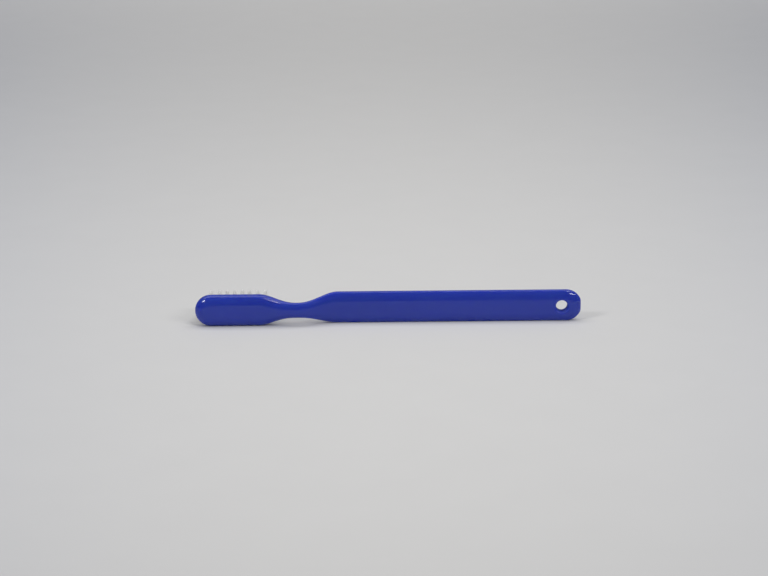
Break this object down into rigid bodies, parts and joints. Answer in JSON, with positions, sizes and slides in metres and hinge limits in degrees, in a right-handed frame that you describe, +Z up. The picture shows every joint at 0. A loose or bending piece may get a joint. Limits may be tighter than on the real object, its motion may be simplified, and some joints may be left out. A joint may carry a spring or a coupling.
{
  "type": "manual toothbrush",
  "caption": "Slim manual toothbrush with a straight flat handle, a round hang hole, a waisted cranked neck and a round-ended head of stapled bristle tufts.",
  "frame": {"origin": "middle of the brush's box in X and Y, on the surface that its long narrow edge stands on", "axes": "+X from the tip of the head to the butt with the hang hole, +Y the way the bristles point, +Z up, across the width of the handle"},
  "size_m": [0.155, 0.016, 0.0128],
  "materials": {
    "blue_plastic": "glossy deep blue moulded plastic",
    "bristle_nylon": "translucent white nylon filament",
    "anchor_metal": "bright drawn strip"
  },
  "bodies": {
    "root": {"handle": "blue_plastic", "tuft_row1_1": "bristle_nylon", "tuft_row1_2": "bristle_nylon", "tuft_row1_3": "bristle_nylon", "tuft_row1_4": "bristle_nylon", "tuft_row1_5": "bristle_nylon", "tuft_row1_6": "bristle_nylon", "tuft_row1_7": "bristle_nylon", "tuft_row1_8": "bristle_nylon", "tuft_row2_1": "bristle_nylon", "tuft_row2_2": "bristle_nylon", "tuft_row2_3": "bristle_nylon", "tuft_row2_4": "bristle_nylon", "tuft_row2_5": "bristle_nylon", "tuft_row2_6": "bristle_nylon", "tuft_row2_7": "bristle_nylon", "tuft_row2_8": "bristle_nylon", "tuft_row2_9": "bristle_nylon", "tuft_row3_1": "bristle_nylon", "tuft_row3_2": "bristle_nylon", "tuft_row3_3": "bristle_nylon", "tuft_row3_4": "bristle_nylon", "tuft_row3_5": "bristle_nylon", "tuft_row3_6": "bristle_nylon", "tuft_row3_7": "bristle_nylon", "tuft_row3_8": "bristle_nylon", "tuft_row3_9": "bristle_nylon", "tuft_row4_1": "bristle_nylon", "tuft_row4_2": "bristle_nylon", "tuft_row4_3": "bristle_nylon", "tuft_row4_4": "bristle_nylon", "tuft_row4_5": "bristle_nylon", "tuft_row4_6": "bristle_nylon", "tuft_row4_7": "bristle_nylon", "tuft_row4_8": "bristle_nylon", "anchors_row1": "anchor_metal", "anchors_row2": "anchor_metal", "anchors_row3": "anchor_metal", "anchors_row4": "anchor_metal"}
  },
  "joints": []
}
